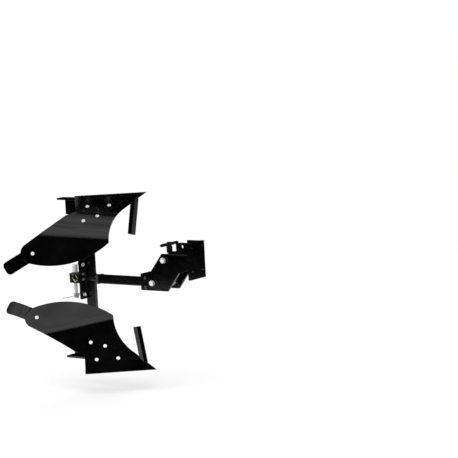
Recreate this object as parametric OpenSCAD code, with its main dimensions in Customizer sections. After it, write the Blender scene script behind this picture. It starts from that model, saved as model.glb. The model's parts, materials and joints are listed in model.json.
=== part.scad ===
// Turn-over walking tractor plough: two mirrored plough bodies on a post that
// rolls about the beam, a sliding latch behind the hub and a pitch screw hitch.
// Origin: centre of the hitch plate's bolt pattern on its front face.
// X forward to the tractor, Y to the left, Z up. All sizes in mm.

/* [Overall] */
// Distance from the turning axis to each share edge
edge_depth = 315; // [285:5:380]
// Height of the turning axis below the hitch origin
axis_drop = 84; // [80:1:92]
// Distance from the hitch face back to the share tip
tip_back = 206; // [200:2:240]
// Distance from the share tip back to the centre of the post
post_back = 260; // [255:0.5:280]
// Width of the post bar
post_w = 39; // [36:1:44]
// Thickness of the post bar
post_t = 14; // [10:1:14]

/* [Share] */
// Angle of the cutting edge to the line of travel
edge_angle = 39; // [36:0.5:42]
// Slope of the share face above the ground
share_slope = 46.5; // [44:0.5:49]
// Length of the cutting edge
share_len = 250; // [235:5:275]
// Width of the share at its wing
share_w = 83; // [76:1:90]
// Thickness of share and mouldboard plate
plate_t = 5; // [4:0.5:7]

/* [Mouldboard] */
// Angle between the seam and the cutting edge in the share plane
seam_angle = 9.6; // [8:0.2:11]
// Inside radius of the rolled curl
curl_r = 147; // [140:1:156]
// Angle through which the plate is rolled
curl_angle = 50.5; // [47:0.5:54]
// Radius of the shin's hollow outline
shin_r = 146.5; // [140:0.5:152]
// Height of the shin corner above the cutting edge
shin_u = 178; // [172:1:184]
// Distance along the edge from the tip to the shin corner
shin_s = 140.5; // [136:0.5:146]
// Radius of the crest outline
crest_r = 302; // [290:2:320]
// Height of the crest above the cutting edge
crest_u = 250; // [244:1:256]
// Distance along the edge from the tip to the crest
crest_s = 330; // [320:2:340]
// Radius of the rounded tail corner
tail_r = 33; // [26:1:38]
// Distance along the edge from the tip to the end of the tail
tail_s = 452; // [440:2:464]
// Slope of the trailing edge
trail_angle = 32.7; // [31:0.1:35]
// Width of the tailpiece
tongue_w = 48; // [40:1:54]
// Length of the tailpiece beyond its bolt
tongue_len = 112; // [90:1:125]

/* [Beam and hub] */
// Width of the painted square beam tube
beam_w = 30; // [28:0.5:34]
// Diameter of the turning shaft
shaft_d = 24; // [22:0.5:25]
// Outside diameter of the hub sleeve
hub_d = 34; // [33:1:38]
// Length of the hub sleeve
hub_len = 52; // [46:1:60]
// Radial clearance of the running bushes
run_gap = 0.05; // [0.03:0.01:0.1]

/* [Latch] */
// Diameter of the latch rod
rod_d = 10; // [9:0.5:11]
// Clearance between the latch rod and its spring
spring_gap = 1.2; // [1:0.1:2]
// Wire diameter of the latch spring
spring_wire = 1.8; // [1.4:0.1:2.2]
// Number of spring curls
spring_turns = 8; // [6:1:10]
// Rest length of the latch spring
spring_len = 41; // [38:1:46]

/* [Hitch] */
// Distance between the inner faces of the two cheeks
cheek_gap = 58; // [56:1:64]
// Thickness of a cheek
cheek_t = 8; // [6:1:10]
// Diameter of the pivot bolt
pivot_d = 12; // [10:1:14]
// Distance from the pivot forward to the pitch screw
screw_arm = 52; // [50:1:56]
// Diameter of the pitch screw
screw_d = 12; // [10:1:14]
// Length of the pitch screw's cross bar
bar_len = 90; // [76:2:110]
// Distance between hitch plate holes, side to side
hole_y = 60; // [56:1:66]
// Distance between hitch plate holes, up and down
hole_z = 80; // [74:1:86]
// Diameter of the hitch plate holes
hole_d = 13; // [11:0.5:14]

/* [Hidden] */
$fn = 64;
// longer than any piece, for cuts that go right through
far = 400;
// overlap of volumes that are joined or cut
lap = 1;
bolt_gap = 0.4;
tiny_gap = 0.3;
sink_gap = 0.1;
seam_gap = 0.5;
// how far a rounded corner stands past the lines it blends, so that they cross cleanly
blend = 0.15;
// the wing corner of the outline lies this far below the seam, so that no edges coincide
wing_drop = 0.5;

// plough body, from the cutting edge up (u) and back from the tip
land_y = 6;
land_t = 8;
// the post stands against the landside's inner face
post_left = land_y - land_t;
post_right = post_left - post_t;
land_front = 75;
land_nose = 170;
land_rear = 366;
land_top = 84;
sole_u = 22;
sole_t = 7;
sole_w = 36;
sole_front = 165;
sole_rear = land_rear + 14;
// the trailing edge passes through this point of the outline
trail_s = 287;
trail_u = 73;
frog_t = 8;
frog_arc = 20;
frog_low = 62;
frog_wing = share_len - 12;
brace_u = 44;
brace_t = 8;
stay_u = 150;
stay_t = 6;
knife_x = 32;
knife_w = 28;
knife_t = 8;
knife_lean = 10.3;
knife_len = 155;
knife_bevel = 32;
tongue_turn = 145.6;
tongue_t = 5;
tongue_r = 120;
tongue_root = 24;
tongue_flat = 43;
tongue_corner = 15;

// plough bolts: two on the share plane, two round the roll, one on the flat at the tail
share_bolts = [[42 - share_len, share_w - 25], [118 - share_len, share_w - 25]];
board_bolts = [[31, 15.8], [78, 6.2]];
tail_bolt = [-139, 40];
bolt_d = 8;
bolt_r = bolt_d / 2;
head_d = 17;
head_h = 4.5;
sink_rise = 0.8;
nut_af = 13;
nut_h = 6.5;
bolt_tail = 3;
washer_r = 8;
washer_h = 1.6;

// stations along the turning axis, measured from the share tip
post_rear = -post_back - post_w / 2;
post_low = -edge_depth + brace_u + brace_t;
flange_t = 5;
hub_rear = post_rear - flange_t;
hub_front = hub_rear + hub_len;
latch_rear = hub_rear - flange_t;
block_rear = latch_rear - 64.5;
rod_x = latch_rear - 51.5;
spigot_d = 20;
bush_wall = 2.5;
bush_len = 18;
bush_d = shaft_d + 2 * bush_wall;
shaft_front = 5;
thrust_t = 8.5;
thrust_w = beam_w + 3;
thrust_gap = 0.3;
beam_corner = 4;
tube_rear = hub_front + thrust_gap + thrust_t;
ring_x = hub_rear - 3.3;
ring_t = 1.4;
ring_depth = 1;
ring_rim = 2.4;
ring_mouth = 6;
retain_r = 14.2;
retain_t = 3;

// flange welded behind the posts, the latch plate bolted to it, and their fasteners
side_in = hub_d / 2;
flange_w = 82;
flange_h = 142;
bolt_y = 31;
bolt_z = 54.5;
bolt_head_h = 5.3;
screw_y = 31;
screw_z = [1, 20];
cap_screw_r = 2.5;
cap_head_r = 4.5;
cap_head_h = 4;

// latch stations
block_w = 35;
block_h = block_w / 2;
recess_r = retain_r + 0.9;
rod_r = rod_d / 2;
spring_d = rod_d + 2 * (spring_gap + spring_wire);
guide_d = 20;
rod_top = 32;
guide_top = rod_top + 9;
cap_high = guide_top + 7;
cap_plug = 3;
nut_top = -block_h - spring_len;
spring_seat = 0.15;
rod_nut_h = 8;
rod_nut_af = 17;
rod_low = nut_top - rod_nut_h - 9;
rod_foot = 4;
wire_d = 3;
wire_len = 52;
wire_drop = 11;
eye_r = rod_r + wire_d / 2 + 0.5;
eye_z = nut_top - rod_nut_h - 2.2;
notch_half = spigot_d / 2 + 0.9;
notch_gap = 0.5;

// hitch stations
pivot_x = 38;
pivot_z = 3;
pivot_r = pivot_d / 2;
screw_x = pivot_x + screw_arm;
screw_r = screw_d / 2;
head_rear = -21;
head_front = 56;
head_low = -26;
head_top = 32;
head_w = cheek_gap - 1;
prong_t = 9;
prong_in = 15;
prong_low = -12;
prong_h = 30;
prong_nose = 16;
clamp_x = 1.5;
clamp_z = [-15.5, 18.5];
clamp_r = 3;
clamp_depth = 12;
clamp_head = 5.2;
clamp_head_h = 4;
tilt_nut_r = 12;
tilt_pin_r = 6;
nut_bore = screw_d + 2.2;
trunnion_d = 28;
trunnion_z = 84;
trunnion_hole = 16;
cheek_in = cheek_gap / 2;
cheek_out = cheek_in + cheek_t;
cheek_rear = 9;
cheek_low = -24;
cheek_top = 106;
plate_x = 10;
plate_rear = tip_back - plate_x;
plate_half = 45;
plate_low = 20;
plate_high = 147;
ear_rear = 145;
ear_hole_x = 170;
ear_hole_z = 134;
ear_hole_r = 6;
strap_rear = 112;
strap_front = 145;
strap_t = 5;
hitch_af = 19;
hitch_head_h = 8;
hitch_nut_h = 10;
hitch_washer_r = 12;
hitch_washer_h = 2.5;
pivot_tail = 3;

// pitch screw stations
spindle_low = -16;
collar_r = 10;
collar_gap = 0.5;
low_collar = 6;
high_collar = 4;
boss_low = 107;
boss_top = 128;
boss_r = 10.5;
boss_depth = 10;
neck_top = 143;
neck_r = 8.5;
bar_z = 136;
bar_r = 5.5;

paint = [0.06, 0.06, 0.06];
zinc = [0.8, 0.82, 0.84];
steel = [0.55, 0.56, 0.58];
olive = [0.55, 0.5, 0.2];
bronze = [0.7, 0.55, 0.3];

// frames
module on_axis() {
    translate([-tip_back, 0, -axis_drop]) children();
}

// lower body: X along the cutting edge to the tip, Y square to it, Z up
module body_frame() {
    translate([0, land_y, -edge_depth]) rotate([0, 0, edge_angle]) children();
}

// share plane: X along the edge, Y up the face, Z out of the working face
module share_frame() {
    body_frame() rotate([share_slope, 0, 0]) children();
}

// mouldboard: X along the seam and the roll axis
module board_frame() {
    share_frame() translate([-share_len, share_w, 0]) rotate([0, 0, seam_angle]) children();
}

// roll axis, turned so that Y lies along the face at that angle
module roll_frame(angle) {
    board_frame() translate([0, 0, curl_r]) rotate([angle, 0, 0]) children();
}

// a point of the working face: along the seam, round the roll, and past it on the flat
module on_board(along, angle, past = 0) {
    roll_frame(angle) translate([along, past, -curl_r]) children();
}

module upper_side() {
    mirror([0, 0, 1]) children();
}

// outlines, seen square to the cutting edge: x is minus the distance from the tip
module tail_corner_cut() {
    n = [sin(trail_angle), cos(trail_angle)];
    a = -(tail_s - tail_r);
    base = [-trail_s, trail_u];
    b = base[1] + (tail_r - (a - base[0]) * n[0]) / n[1];
    foot = [a - tail_r * n[0], b - tail_r * n[1]];
    up = [a + crest_s, b - (crest_u - crest_r)];
    crown = [a, b] + tail_r * up / norm(up);
    difference() {
        polygon([foot + n, foot - n * tail_r / 4, foot - n * tail_r / 4 - [n[1], -n[0]] * far,
            [-far * 2, far], crown + [-far, far], crown - up / norm(up)]);
        translate([a, b]) circle(r = tail_r + blend, $fn = 96);
    }
}

module face_outline() {
    centre = [-(shin_s - shin_r), shin_u];
    reach = norm(centre);
    run = sqrt(reach * reach - shin_r * shin_r);
    lift = atan2(centre[1], -centre[0]) - asin(shin_r / reach);
    touch = run * [-cos(lift), sin(lift)];
    inner = touch + (centre - touch) * 0.003;
    difference() {
        intersection() {
            union() {
                translate([-crest_s, crest_u - crest_r]) circle(r = crest_r, $fn = 192);
                translate([-2 * far, -lap]) square([2 * far + lap, shin_u / 2]);
            }
            polygon([[0, 0], inner, [-shin_s + shin_r, shin_u], [-shin_s + shin_r, far],
                [-2 * far, far],
                [-trail_s - far, trail_u + far * tan(trail_angle)],
                [-trail_s, trail_u],
                [-share_len, share_w * sin(share_slope) - wing_drop],
                [-share_len, 0]]);
        }
        translate(centre) circle(r = shin_r, $fn = 128);
        tail_corner_cut();
    }
}

module outline_block() {
    body_frame() translate([0, far, 0]) rotate([90, 0, 0])
        linear_extrude(2 * far) face_outline();
}

// part of a tube about X, from straight below towards +Y
module roll_sector(r0, r1, angle, len) {
    rotate([0, 90, 0]) rotate_extrude(angle = angle, $fn = 256)
        translate([r0, 0]) square([r1 - r0, len]);
}

// board blank: a roll that starts at the seam and runs out flat
module board_blank(len_rear, len_front) {
    roll_frame(curl_angle) translate([-len_rear, 0, -curl_r]) {
        translate([0, 0, -plate_t]) cube([len_rear + len_front, far / 2, plate_t]);
        translate([0, 0, curl_r]) mirror([0, 1, 0])
            roll_sector(curl_r, curl_r + plate_t, curl_angle, len_rear + len_front);
    }
}

// carrier blank behind share and board: flat below the seam, rolled above it
module frog_blank(x0, x1) {
    back = plate_t + frog_t;
    board_frame() translate([x0, 0, 0]) {
        translate([0, -frog_low, -back]) cube([x1 - x0, frog_low, frog_t]);
        translate([0, 0, curl_r])
            roll_sector(curl_r + plate_t, curl_r + back, frog_arc, x1 - x0);
    }
}

module at_frog_bolts() {
    for (p = share_bolts) share_frame() translate([p[0], p[1], 0]) children();
    for (p = board_bolts) on_board(p[0], p[1]) children();
}

module at_tail_bolt() {
    on_board(tail_bolt[0], curl_angle, tail_bolt[1]) children();
}

// the sink runs on above the tangent plane, clear of the roll's rise round the head
module sunk_hole(depth) {
    h = head_h + sink_rise;
    r = bolt_r + sink_gap;
    translate([0, 0, -head_h])
        cylinder(h = h, r1 = r, r2 = r + h * (head_d / 2 - bolt_r) / head_h);
    translate([0, 0, -depth]) cylinder(h = depth, r = bolt_r + bolt_gap);
}

module plough_bolt(grip) {
    shank = grip + washer_h + nut_h + bolt_tail;
    translate([0, 0, -head_h]) cylinder(h = head_h, r1 = bolt_r, r2 = head_d / 2);
    translate([0, 0, -shank]) cylinder(h = shank - head_h + lap / 2, r = bolt_r);
}

module hex_nut(af, h, d) {
    difference() {
        cylinder(h = h, r = af / sqrt(3), $fn = 6);
        translate([0, 0, -lap]) cylinder(h = h + 2 * lap, r = d / 2);
    }
}

module hex_head(af, h) {
    intersection() {
        cylinder(h = h, r = af / sqrt(3), $fn = 6);
        cylinder(h = h, r1 = af / sqrt(3) + 1.5, r2 = af / sqrt(3) - 1.2);
    }
}

module washer(r, d, h) {
    difference() {
        cylinder(h = h, r = r);
        translate([0, 0, -lap]) cylinder(h = h + 2 * lap, r = d / 2);
    }
}

module nut_and_washer(grip) {
    translate([0, 0, -grip - washer_h]) washer(washer_r, bolt_d + bolt_gap, washer_h);
    translate([0, 0, -grip - washer_h - nut_h]) hex_nut(nut_af, nut_h, bolt_d);
}

// plough body pieces, drawn for the lower body
module share() {
    difference() {
        intersection() {
            share_frame() translate([-far, -far / 2, -plate_t]) cube([2 * far, far, plate_t]);
            outline_block();
        }
        board_frame() translate([-far, -seam_gap, -far / 2]) cube([2 * far, far, far]);
        for (p = share_bolts) share_frame() translate([p[0], p[1], 0])
            sunk_hole(plate_t + lap);
    }
}

module mouldboard() {
    difference() {
        intersection() {
            board_blank(far * 0.65, far * 0.5);
            outline_block();
        }
        for (p = board_bolts) on_board(p[0], p[1]) sunk_hole(plate_t + 2 * lap);
        at_tail_bolt() sunk_hole(plate_t + lap);
    }
}

module tongue_outline() {
    w = tongue_w / 2;
    c = tongue_corner;
    translate([-tongue_root, -w]) square([tongue_root + tongue_len - c, tongue_w]);
    translate([tongue_len - c - lap, -w + c]) square([c + lap, tongue_w - 2 * c]);
    for (k = [-1, 1]) translate([tongue_len - c, k * (w - c)]) circle(r = c);
}

// side view of the tongue: a flat root, then a bend towards the working side
module tongue_bend() {
    translate([-tongue_root - lap, -tongue_w, -tongue_t])
        cube([tongue_root + lap + tongue_flat, 2 * tongue_w, tongue_t]);
    translate([tongue_flat, tongue_w, tongue_r]) rotate([90, 0, 0]) intersection() {
        difference() {
            cylinder(h = 2 * tongue_w, r = tongue_r + tongue_t, $fn = 128);
            translate([0, 0, -lap]) cylinder(h = 2 * (tongue_w + lap), r = tongue_r, $fn = 128);
        }
        translate([0, -tongue_r - tongue_len, 0])
            cube([tongue_r, tongue_r + tongue_len / 2, 2 * tongue_w]);
    }
}

module tailpiece() {
    at_tail_bolt() translate([0, 0, -plate_t]) rotate([0, 0, tongue_turn]) difference() {
        intersection() {
            translate([0, 0, -tongue_w]) linear_extrude(tongue_w + tongue_len) tongue_outline();
            tongue_bend();
        }
        translate([0, 0, -tongue_w]) cylinder(h = 2 * tongue_w, r = bolt_r + bolt_gap);
    }
}

module frog() {
    difference() {
        intersection() {
            frog_blank(-10, 190);
            body_frame() translate([0, far, 0]) rotate([90, 0, 0]) linear_extrude(2 * far)
                polygon([[-112, 26], [-frog_wing, 26], [-frog_wing - 5, 70], [-frog_wing, 118],
                    [-160, 124], [-132, 88]]);
        }
        at_frog_bolts() cylinder(h = far / 4, r = bolt_r + bolt_gap, center = true);
    }
}

// everything in front of the frog's rear face, used to trim what is welded behind
module front_of_frog() {
    share_frame() translate([-far, -far, -plate_t - frog_t]) cube([2 * far, 2 * far, far]);
}

module frog_brace() {
    difference() {
        translate([0, land_y - land_t, -edge_depth + brace_u]) linear_extrude(brace_t)
            polygon([[-land_nose - 2, 0], [-128, -20], [-220, -106], [-226, -96],
                [post_rear - 5, post_right - post_left], [post_rear - 5, 0]]);
        front_of_frog();
    }
}

module landside() {
    low = sole_u + sole_t;
    difference() {
        translate([0, land_y, -edge_depth]) rotate([90, 0, 0]) linear_extrude(land_t)
            polygon([[-land_front, low], [-land_rear, low], [-land_rear, land_top],
                [-land_nose, land_top]]);
        front_of_frog();
    }
}

module sole() {
    difference() {
        translate([-sole_rear, land_y - sole_w, -edge_depth + sole_u])
            cube([sole_rear - sole_front, sole_w, sole_t]);
        front_of_frog();
    }
}

module knife() {
    difference() {
        translate([-knife_x, land_y - knife_t, -edge_depth]) rotate([0, -knife_lean, 0])
            difference() {
                translate([-knife_w, 0, 0]) cube([knife_w, knife_t, knife_len]);
                translate([-knife_w * 0.4, 0, -lap]) rotate([0, 0, knife_bevel])
                    translate([0, -knife_w, 0]) cube([knife_w * 2, knife_w, knife_len + 2 * lap]);
            }
        share_frame() translate([-far, -far, -far]) cube([2 * far, 2 * far, far]);
    }
}

module stay() {
    difference() {
        translate([0, 0, -edge_depth + stay_u]) linear_extrude(stay_t)
            polygon([[post_rear + 4, post_right], [post_rear + 30, post_right],
                [post_rear + 14, -140], [post_rear - 12, -140]]);
        board_frame() translate([-far, 0, curl_r]) rotate([0, 90, 0])
            cylinder(h = 2 * far, r = curl_r + plate_t, $fn = 256);
        roll_frame(curl_angle) translate([-far, 0, -curl_r - plate_t])
            cube([2 * far, far, far]);
    }
}

module plough_bolts() {
    at_frog_bolts() plough_bolt(plate_t + frog_t);
    at_tail_bolt() plough_bolt(plate_t + tongue_t);
}

module plough_nuts() {
    at_frog_bolts() nut_and_washer(plate_t + frog_t);
    at_tail_bolt() nut_and_washer(plate_t + tongue_t);
}

// post, hub and flange plates
module x_rod(x0, x1, r) {
    translate([x0, 0, 0]) rotate([0, 90, 0]) cylinder(h = x1 - x0, r = r);
}

module post_bar() {
    difference() {
        translate([post_rear, post_right, post_low])
            cube([post_w, post_t, -post_low]);
        x_rod(hub_rear - lap, hub_front + lap, side_in);
    }
}

module hub_sleeve() {
    difference() {
        x_rod(hub_rear, hub_front, side_in);
        x_rod(hub_rear - lap, hub_front + lap, bush_d / 2);
    }
}

module bush(x0) {
    difference() {
        x_rod(x0, x0 + bush_len, bush_d / 2);
        x_rod(x0 - lap, x0 + bush_len + lap, shaft_d / 2 + run_gap);
    }
}

module front_bush() {
    bush(hub_front - bush_len);
}

module rear_bush() {
    bush(hub_rear);
}

// places on the front face of the flange, Z pointing forward
module at_flange_bolts() {
    for (y = [-bolt_y, bolt_y], z = [-bolt_z, bolt_z])
        translate([post_rear, y, z]) rotate([0, 90, 0]) children();
}

// the left pair is the right pair turned half round, so both sides look alike after a turn
module at_flange_screws() {
    for (k = [-1, 1], z = screw_z)
        translate([post_rear, k * screw_y, -k * z]) rotate([0, 90, 0]) children();
}

module flange_blank(x0, bore) {
    difference() {
        translate([x0, -flange_w / 2, -flange_h / 2]) cube([flange_t, flange_w, flange_h]);
        x_rod(x0 - lap, x0 + flange_t + lap, bore);
        at_flange_bolts() cylinder(h = far / 10, r = bolt_r + bolt_gap, center = true);
        at_flange_screws() cylinder(h = far / 10, r = cap_screw_r + sink_gap, center = true);
    }
}

module hub_flange() {
    flange_blank(hub_rear, side_in);
}

module latch_plate() {
    flange_blank(latch_rear, recess_r);
}

module flange_bolts() {
    grip = 2 * flange_t + washer_h;
    tail = grip + nut_h + bolt_tail;
    at_flange_bolts() {
        translate([0, 0, -tail]) cylinder(h = tail + washer_h + lap / 2, r = bolt_r);
        washer(washer_r, bolt_d, washer_h);
        translate([0, 0, washer_h]) cylinder(h = bolt_head_h, r = nut_af / sqrt(3), $fn = 6);
    }
}

module flange_nuts() {
    grip = 2 * flange_t + washer_h;
    at_flange_bolts() {
        translate([0, 0, -grip]) washer(washer_r, bolt_d, washer_h);
        translate([0, 0, -grip - nut_h]) hex_nut(nut_af, nut_h, bolt_d);
    }
}

module flange_screws() {
    at_flange_screws() difference() {
        union() {
            translate([0, 0, -2 * flange_t]) cylinder(h = 2 * flange_t + lap, r = cap_screw_r);
            cylinder(h = cap_head_h, r = cap_head_r);
        }
        translate([0, 0, cap_head_h - 2]) cylinder(h = 3, r = cap_screw_r, $fn = 6);
    }
}

// latch
module latch_block() {
    difference() {
        translate([block_rear, -block_h, -block_h])
            cube([latch_rear - block_rear, block_w, block_w]);
        x_rod(rod_x - lap, far, spigot_d / 2 + tiny_gap);
        translate([rod_x, 0, 0]) cylinder(h = 2 * block_w, r = rod_r + tiny_gap, center = true);
    }
}

// tube on the block that covers the upper end of the rod, closed by a plug
module latch_guide() {
    translate([rod_x, 0, block_h]) difference() {
        cylinder(h = guide_top - block_h, r = guide_d / 2);
        translate([0, 0, -lap]) cylinder(h = guide_top, r = rod_r + tiny_gap);
    }
}

module latch_plug() {
    translate([rod_x, 0, guide_top]) {
        cylinder(h = cap_high - guide_top, r = guide_d / 2 - 1);
        translate([0, 0, -cap_plug]) cylinder(h = cap_plug + lap, r = rod_r + tiny_gap);
    }
}

module latch_rod() {
    translate([rod_x, 0, 0]) difference() {
        union() {
            translate([0, 0, rod_low]) cylinder(h = rod_top - rod_low, r = rod_r);
            translate([0, 0, rod_low]) cylinder(h = rod_foot, r = rod_r + rod_foot);
        }
        translate([-notch_gap, -rod_d, -notch_half]) cube([rod_d, 2 * rod_d, 2 * notch_half]);
    }
}

module latch_nut() {
    translate([rod_x, 0, nut_top - rod_nut_h]) hex_nut(rod_nut_af, rod_nut_h, rod_d);
}

// wound wire: straight lead, curls from a formula, straight lead
module wound_spring(length, outer, wire, turns) {
    sides = 6;
    rings = 8;
    r = (outer - wire) / 2;
    n = turns * rings;
    rise = length - wire;
    function spot(i) = [r * cos(i * 360 / rings), r * sin(i * 360 / rings),
        wire / 2 + rise * i / n];
    function way(i) = let(a = i * 360 / rings, v = [-r * sin(a) * PI * 2 / rings,
        r * cos(a) * PI * 2 / rings, rise / n]) v / norm(v);
    lead0 = spot(0) - way(0) * wire;
    lead1 = spot(n) + way(n) * wire;
    path = concat([lead0], [for (i = [0:n]) spot(i)], [lead1]);
    dirs = concat([way(0)], [for (i = [0:n]) way(i)], [way(n)]);
    angs = concat([0], [for (i = [0:n]) i * 360 / rings], [n * 360 / rings]);
    function ring(k) = let(t = dirs[k], a = angs[k], u = [cos(a), sin(a), 0], w = cross(t, u))
        [for (j = [0:sides - 1]) path[k] + wire / 2 * (u * cos(j * 360 / sides)
            + w * sin(j * 360 / sides))];
    m = len(path);
    points = [for (k = [0:m - 1]) each ring(k)];
    faces = concat([[for (j = [sides - 1:-1:0]) j]],
        [for (k = [0:m - 2], j = [0:sides - 1], half = [0, 1]) let(a = k * sides + j,
            b = k * sides + (j + 1) % sides)
            half == 0 ? [a, b, b + sides] : [a, b + sides, a + sides]],
        [[for (j = [0:sides - 1]) (m - 1) * sides + j]]);
    gaps = [for (i = [0:n - rings]) norm(spot(i + rings) - spot(i)) - wire];
    echo(least_spring_gap = min(gaps));
    polyhedron(points, faces);
}

module latch_spring() {
    translate([rod_x, 0, nut_top + spring_seat])
        wound_spring(spring_len - 2 * spring_seat, spring_d, spring_wire, spring_turns);
}

module release_wire() {
    translate([rod_x, 0, eye_z]) {
        rotate_extrude() translate([eye_r, 0]) circle(r = wire_d / 2, $fn = 24);
        translate([-eye_r, 0, 0]) rotate([0, -90 - wire_drop, 0])
            cylinder(h = wire_len, r = wire_d / 2, $fn = 24);
    }
}

// beam
// square bar along the axis with rounded corners and a bore for the shaft
module square_tube(x0, x1, w) {
    inner = w - 2 * beam_corner;
    translate([x0, 0, 0]) rotate([90, 0, 90]) linear_extrude(x1 - x0) difference() {
        union() {
            square([w, inner], center = true);
            square([inner, w], center = true);
            for (y = [-1, 1], z = [-1, 1])
                translate([y, z] * inner / 2) circle(r = beam_corner, $fn = 48);
        }
        circle(r = shaft_d / 2);
    }
}

module beam_tube() {
    square_tube(tube_rear, head_rear, beam_w);
}

module beam_shaft() {
    slot = rod_r + tiny_gap;
    difference() {
        union() {
            x_rod(hub_rear, shaft_front, shaft_d / 2);
            x_rod(rod_x, hub_rear + lap, spigot_d / 2);
        }
        translate([rod_x - lap, -slot, -far / 2]) cube([lap + slot, 2 * slot, far]);
        difference() {
            x_rod(ring_x - ring_t, ring_x, spigot_d);
            x_rod(ring_x - ring_t, ring_x, spigot_d / 2 - ring_depth);
        }
    }
}

module x_washer(x, r, d, h) {
    translate([x, 0, 0]) rotate([0, 90, 0]) washer(r, d, h);
}

module thrust_plate() {
    square_tube(tube_rear - thrust_t, tube_rear, thrust_w);
}

module retaining_washer() {
    x_washer(ring_x, retain_r, spigot_d, retain_t);
}

module retaining_ring() {
    difference() {
        x_washer(ring_x - ring_t, spigot_d / 2 + ring_rim, spigot_d - 2 * ring_depth, ring_t);
        translate([ring_x - 2 * ring_t, -ring_mouth / 2, -far])
            cube([3 * ring_t, ring_mouth, far - spigot_d / 4]);
    }
}

module clamp_places() {
    for (z = clamp_z) translate([clamp_x, -head_w / 2, z]) rotate([90, 0, 0]) children();
}

module beam_head() {
    difference() {
        union() {
            translate([head_rear, -head_w / 2, head_low])
                cube([head_front - head_rear, head_w, head_top - head_low]);
            for (k = [0, 1]) mirror([0, k, 0]) translate([head_front - lap, prong_in, prong_low])
                cube([screw_x + prong_nose - head_front, prong_t, prong_h]);
        }
        x_rod(head_rear - lap, shaft_front, shaft_d / 2);
        cross_hole(pivot_x, pivot_z, pivot_r + run_gap);
        cross_hole(screw_x, pivot_z, tilt_pin_r);
        clamp_places() translate([0, 0, -clamp_depth]) cylinder(h = far, r = clamp_r);
    }
}

module clamp_screws() {
    clamp_places() {
        translate([0, 0, -clamp_depth]) cylinder(h = clamp_depth + lap, r = clamp_r);
        cylinder(h = clamp_head_h, r = clamp_head, $fn = 6);
    }
}

module tilt_nut() {
    translate([screw_x, 0, pivot_z]) difference() {
        rotate([90, 0, 0]) {
            cylinder(h = 2 * prong_in, r = tilt_nut_r, center = true);
            cylinder(h = 2 * (prong_in + prong_t), r = tilt_pin_r, center = true);
        }
        cylinder(h = far, r = nut_bore / 2, center = true);
    }
}

// hitch
module cross_hole(x, z, r) {
    translate([x, 0, z]) rotate([90, 0, 0]) cylinder(h = far, r = r, center = true);
}

module cheek() {
    difference() {
        rotate([90, 0, 0]) linear_extrude(cheek_t)
            polygon([[cheek_rear, cheek_low], [100, cheek_low], [150, 40], [plate_rear, 55],
                [plate_rear, cheek_top], [81, cheek_top], [30, 42], [cheek_rear, 36]]);
        cross_hole(pivot_x, pivot_z, pivot_r + tiny_gap);
        cross_hole(screw_x, trunnion_z, pivot_r + tiny_gap);
    }
}

module right_cheek() {
    translate([0, -cheek_in, 0]) cheek();
}

module left_cheek() {
    translate([0, cheek_out, 0]) cheek();
}

module mount_plate() {
    difference() {
        union() {
            translate([plate_rear, -plate_half, plate_low])
                cube([plate_x, 2 * plate_half, plate_high - plate_low]);
            for (k = [0, 1]) mirror([0, k, 0]) translate([ear_rear, cheek_in, cheek_top])
                cube([plate_rear - ear_rear + lap, cheek_t, plate_high - cheek_top]);
        }
        for (y = [-1, 1], z = [-1, 1])
            translate([plate_rear - lap, y * hole_y / 2, axis_drop + z * hole_z / 2])
                rotate([0, 90, 0]) cylinder(h = plate_x + 2 * lap, r = hole_d / 2);
        cross_hole(ear_hole_x, ear_hole_z, ear_hole_r);
    }
}

module top_strap() {
    translate([strap_rear, -cheek_out, cheek_top])
        cube([strap_front - strap_rear, 2 * cheek_out, strap_t]);
}

module trunnion() {
    translate([screw_x, 0, trunnion_z]) difference() {
        rotate([90, 0, 0]) cylinder(h = cheek_gap, r = trunnion_d / 2, center = true);
        cylinder(h = far, r = screw_r + run_gap, center = true);
        for (k = [0, 1]) mirror([0, k, 0]) translate([0, cheek_in + lap, 0]) rotate([90, 0, 0])
            cylinder(h = trunnion_hole + lap, r = pivot_r);
    }
}

module pivot_bolt() {
    outer = cheek_out + hitch_washer_h;
    tail = hitch_nut_h + pivot_tail;
    translate([pivot_x, -outer, pivot_z]) rotate([90, 0, 0]) {
        translate([0, 0, -2 * outer - tail]) cylinder(h = 2 * outer + tail + lap, r = pivot_r);
        hex_head(hitch_af, hitch_head_h);
    }
}

module pivot_nut() {
    translate([pivot_x, cheek_out + hitch_washer_h, pivot_z]) rotate([-90, 0, 0])
        hex_nut(hitch_af, hitch_nut_h, pivot_d);
}

module pivot_washers() {
    for (y = [-cheek_out, cheek_out + hitch_washer_h])
        translate([pivot_x, y, pivot_z]) rotate([90, 0, 0])
            washer(hitch_washer_r, pivot_d, hitch_washer_h);
}

module upper_bolts() {
    depth = cheek_t + trunnion_hole - 2;
    for (k = [0, 1]) mirror([0, k, 0]) translate([screw_x, -cheek_out, trunnion_z])
        rotate([90, 0, 0]) {
            translate([0, 0, -depth]) cylinder(h = depth + hitch_washer_h + lap, r = pivot_r);
            washer(hitch_washer_r, pivot_d, hitch_washer_h);
            translate([0, 0, hitch_washer_h]) hex_head(hitch_af, hitch_head_h);
        }
}

// pitch screw
module tilt_spindle() {
    translate([screw_x, 0, 0]) {
        translate([0, 0, spindle_low])
            cylinder(h = boss_low + boss_depth - spindle_low, r = screw_r);
        translate([0, 0, trunnion_z - trunnion_d / 2 - collar_gap - low_collar])
            cylinder(h = low_collar, r = collar_r);
        translate([0, 0, trunnion_z + trunnion_d / 2 + collar_gap])
            cylinder(h = high_collar, r = collar_r);
    }
}

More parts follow.
